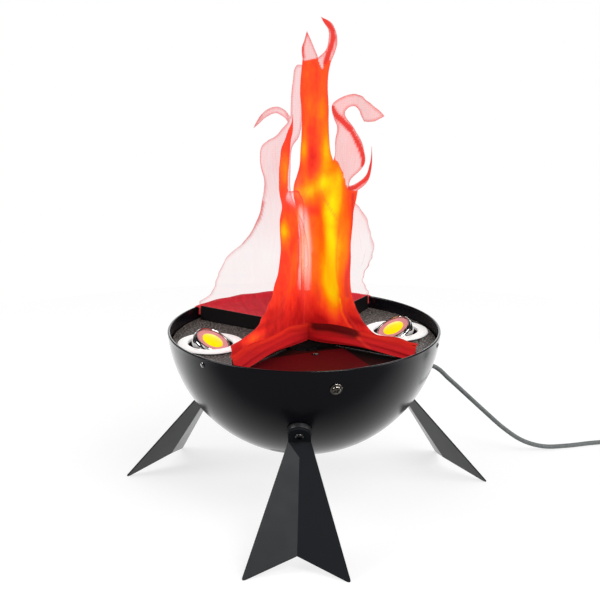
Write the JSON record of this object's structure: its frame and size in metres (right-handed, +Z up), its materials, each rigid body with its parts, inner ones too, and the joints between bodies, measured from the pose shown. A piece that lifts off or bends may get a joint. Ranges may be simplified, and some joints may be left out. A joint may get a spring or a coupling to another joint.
{
  "type": "flame effect light",
  "caption": "Tabletop flame effect light: a black steel bowl on folded legs, with a fan and tilting lamps under a flame of cut silk.",
  "frame": {"origin": "on the floor, at the centre of the footprint that the bowl and its legs cover, with the cord left out", "axes": "+Z up along the flame, -Y to the front leg, +X to the right as seen from the front"},
  "size_m": [0.7038, 0.4483, 0.5073],
  "materials": {
    "bowl_paint": "satin black",
    "plate_paint": "fine-textured grey-brown",
    "strip_paint": "matt black",
    "leg_paint": "satin dark grey",
    "spacer_paint": "black",
    "black_steel": "blackened",
    "nickel": "bright zinc or nickel plate",
    "white_trim": "white",
    "chrome": "polished",
    "reflector": "pressed glass with a mirror coat inside",
    "lamp_glass": "clear",
    "amber_filter": "coloured",
    "ceramic": "ceramic",
    "fan_plastic": "black moulding",
    "housing_plastic": "pale moulding",
    "orange_silk": "thin dyed silk",
    "pink_silk": "sheer pale silk",
    "red_silk": "thin dyed silk",
    "cord_rubber": "matt grey"
  },
  "bodies": {
    "base": {"bowl": "bowl_paint", "top_plate": "plate_paint", "arm_strip_a": "strip_paint", "arm_strip_b": "strip_paint", "leg_front": "leg_paint", "leg_rear_right": "leg_paint", "leg_rear_left": "leg_paint", "leg_front_spacer": "spacer_paint", "leg_rear_right_spacer": "spacer_paint", "leg_rear_left_spacer": "spacer_paint", "leg_front_screw": "black_steel", "leg_rear_right_screw": "black_steel", "leg_rear_left_screw": "black_steel", "rim_rivet_1": "black_steel", "rim_rivet_2": "black_steel", "rim_rivet_3": "black_steel", "fan_screw_1": "black_steel", "fan_screw_2": "black_steel", "fan_screw_3": "black_steel", "fan_screw_4": "black_steel", "plate_screw_1": "nickel", "plate_screw_2": "nickel", "plate_screw_3": "nickel", "leg_front_nut": "nickel", "leg_rear_right_nut": "nickel", "leg_rear_left_nut": "nickel", "transformer_screw_1": "nickel", "transformer_screw_2": "nickel", "lamp_ring_left": "white_trim", "lamp_ring_right": "white_trim", "fan_frame": "fan_plastic", "transformer": "housing_plastic", "terminal_block": "housing_plastic", "silk_front_left": "orange_silk", "silk_front_right": "orange_silk", "silk_rear_left": "pink_silk", "silk_rear_right": "pink_silk", "silk_skirt_left": "red_silk", "silk_skirt_right": "red_silk", "silk_rear_panel": "red_silk", "cord_gland": "cord_rubber", "mains_cord": "cord_rubber", "cord_coil": "cord_rubber", "plug": "cord_rubber"},
    "fan_wheel": {"fan_rotor": "fan_plastic"},
    "lamp_head_left": {"gimbal_ring_left": "chrome", "lamp_left": "reflector", "lamp_capsule_left": "lamp_glass", "lamp_filter_left": "amber_filter", "lamp_clip_left": "nickel", "lamp_socket_left": "ceramic"},
    "lamp_head_right": {"gimbal_ring_right": "chrome", "lamp_right": "reflector", "lamp_capsule_right": "lamp_glass", "lamp_filter_right": "amber_filter", "lamp_clip_right": "nickel", "lamp_socket_right": "ceramic"}
  },
  "joints": [
    {"name": "fan_spin", "type": "hinge", "parent": "base", "child": "fan_wheel", "pos_m": [0, 0.0274, 0.16], "axis": [0, 0, 1], "continuous": true},
    {"name": "lamp_left_tilt", "type": "hinge", "parent": "base", "child": "lamp_head_left", "pos_m": [-0.09418, 0.00217, 0.1781], "axis": [0.4848, 0.8746, 0], "range_deg": [-57, 3]},
    {"name": "lamp_right_tilt", "type": "hinge", "parent": "base", "child": "lamp_head_right", "pos_m": [0.09418, 0.05263, 0.1781], "axis": [0.5446, -0.8387, 0], "range_deg": [-57, 3]}
  ]
}
